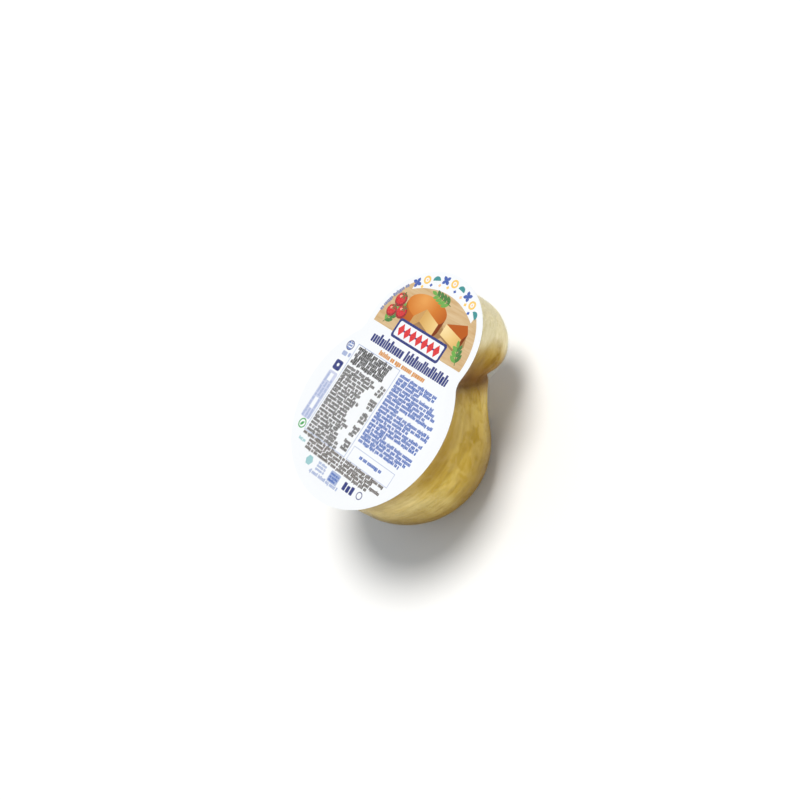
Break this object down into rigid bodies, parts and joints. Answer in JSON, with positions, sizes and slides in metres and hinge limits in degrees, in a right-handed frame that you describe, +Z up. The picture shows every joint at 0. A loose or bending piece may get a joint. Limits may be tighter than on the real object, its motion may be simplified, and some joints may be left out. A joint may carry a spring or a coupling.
{
  "type": "smoked provola cheese pack",
  "caption": "Pear-shaped smoked cheese in a clear formed tray, sealed by a flat printed lid film, lying on its rounded back.",
  "frame": {"origin": "on the surface below, under the middle of the lid's outline", "axes": "+X across the pack, +Y along it from the belly to the head, +Z up, out of the lid"},
  "size_m": [0.074, 0.0966, 0.0516],
  "materials": {
    "cheese": "smoked cheese skin, golden, moist, semi-gloss",
    "tray": "clear formed plastic, glossy",
    "lid": "white printed film, satin"
  },
  "bodies": {
    "root": {"cheese": "cheese", "tray": "tray", "lid": "lid"}
  },
  "joints": []
}
